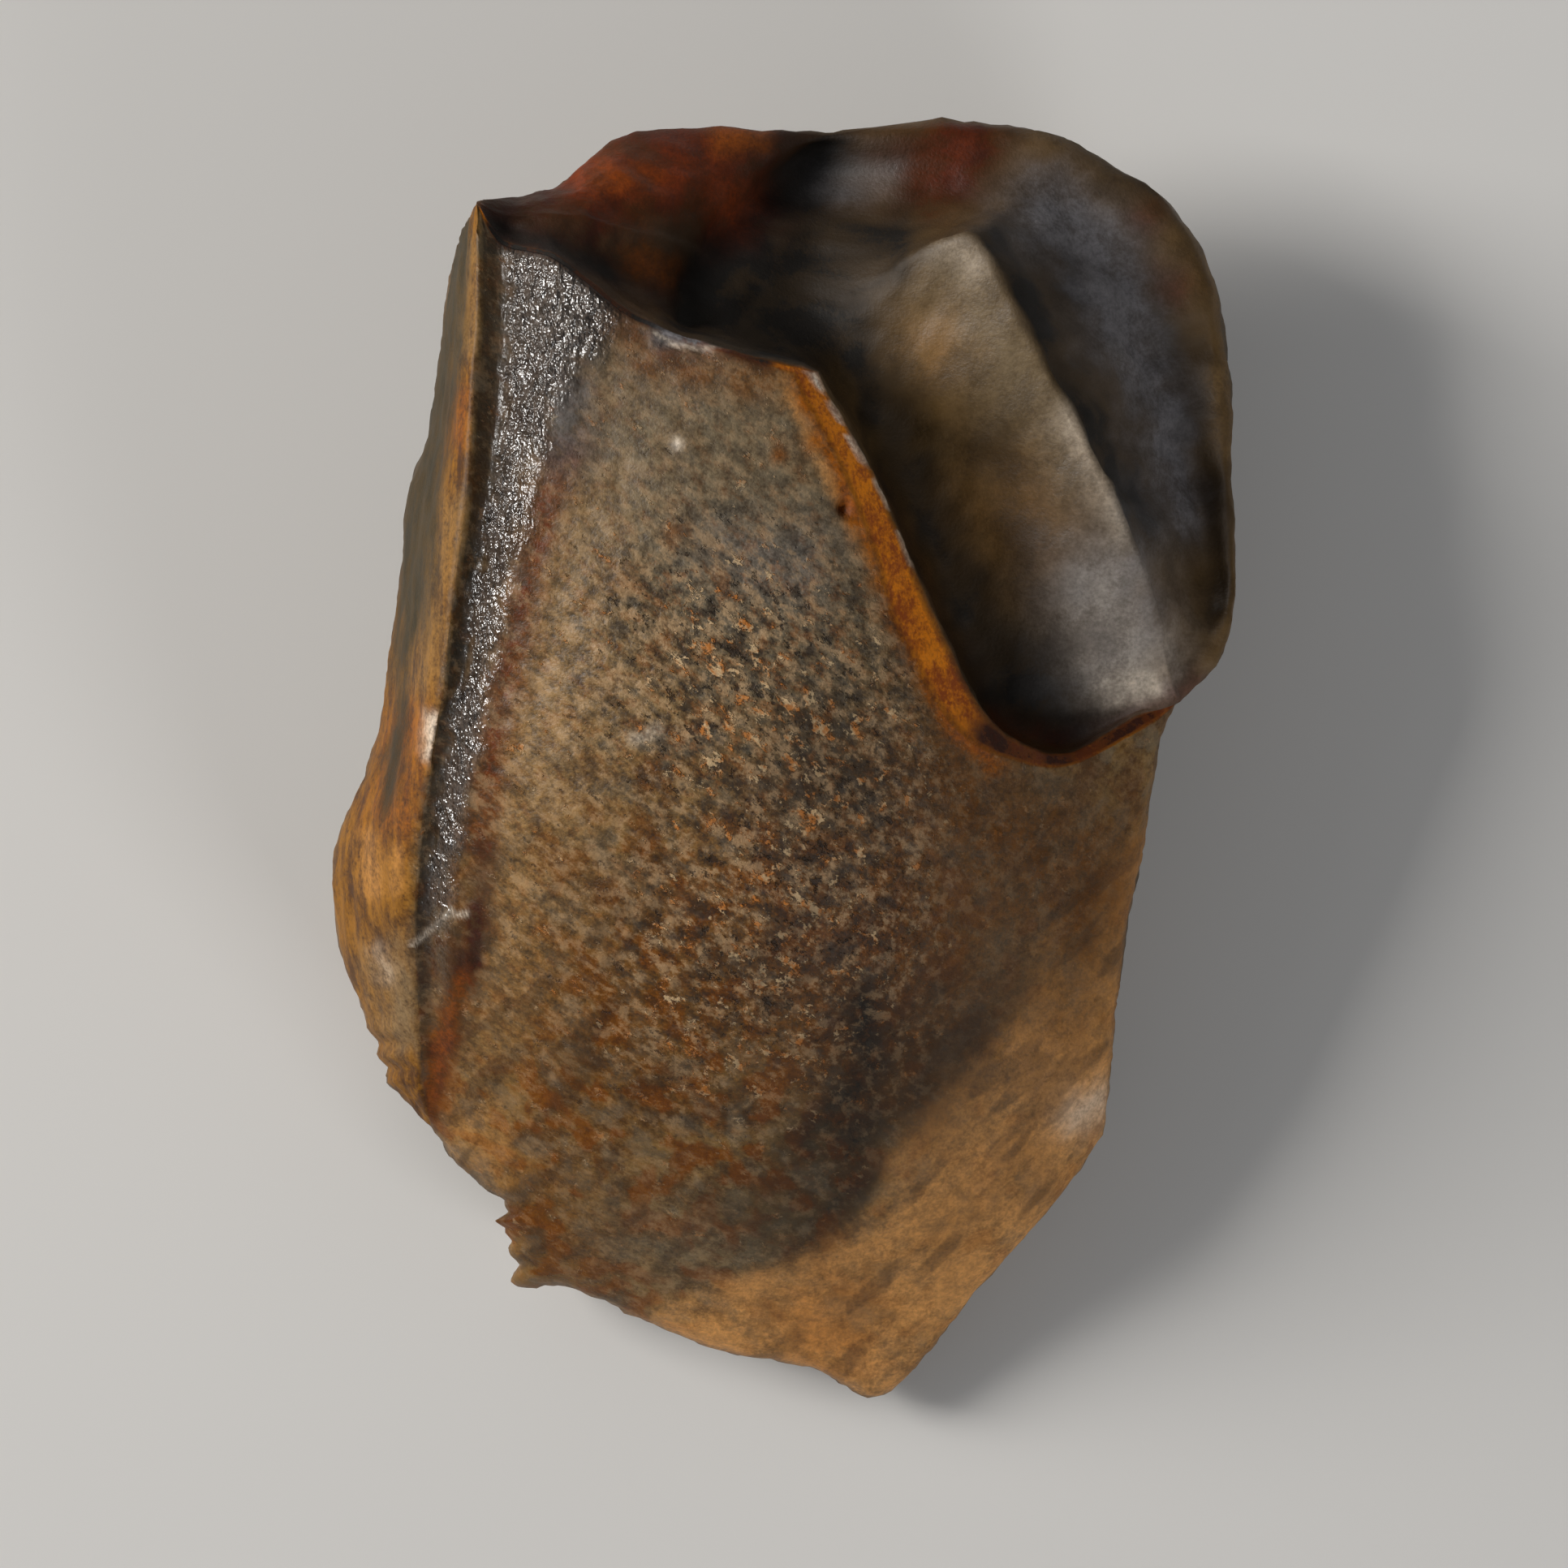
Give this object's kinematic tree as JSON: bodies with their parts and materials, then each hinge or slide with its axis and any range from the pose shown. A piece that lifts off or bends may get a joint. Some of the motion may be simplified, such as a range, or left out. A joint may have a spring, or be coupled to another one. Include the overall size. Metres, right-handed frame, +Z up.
{
  "type": "fossil triceratops tooth",
  "caption": "Shed fossil tooth crown with a sharp ridge along one side, a pitted enamel face, a hollowed broken root end and a flat wear facet underneath.",
  "frame": {"origin": "centre of the bounding box, on the surface that the wear facet rests on", "axes": "+Z up from the wear facet towards the enamel face, +Y from the worn tip to the hollow root end, +X away from the sharp ridge"},
  "size_m": [0.0168, 0.024, 0.0112],
  "materials": {
    "fossil": "semi-gloss mineralised enamel, mottled brown, tan and grey"
  },
  "bodies": {
    "root": {"tooth": "fossil"}
  },
  "joints": []
}
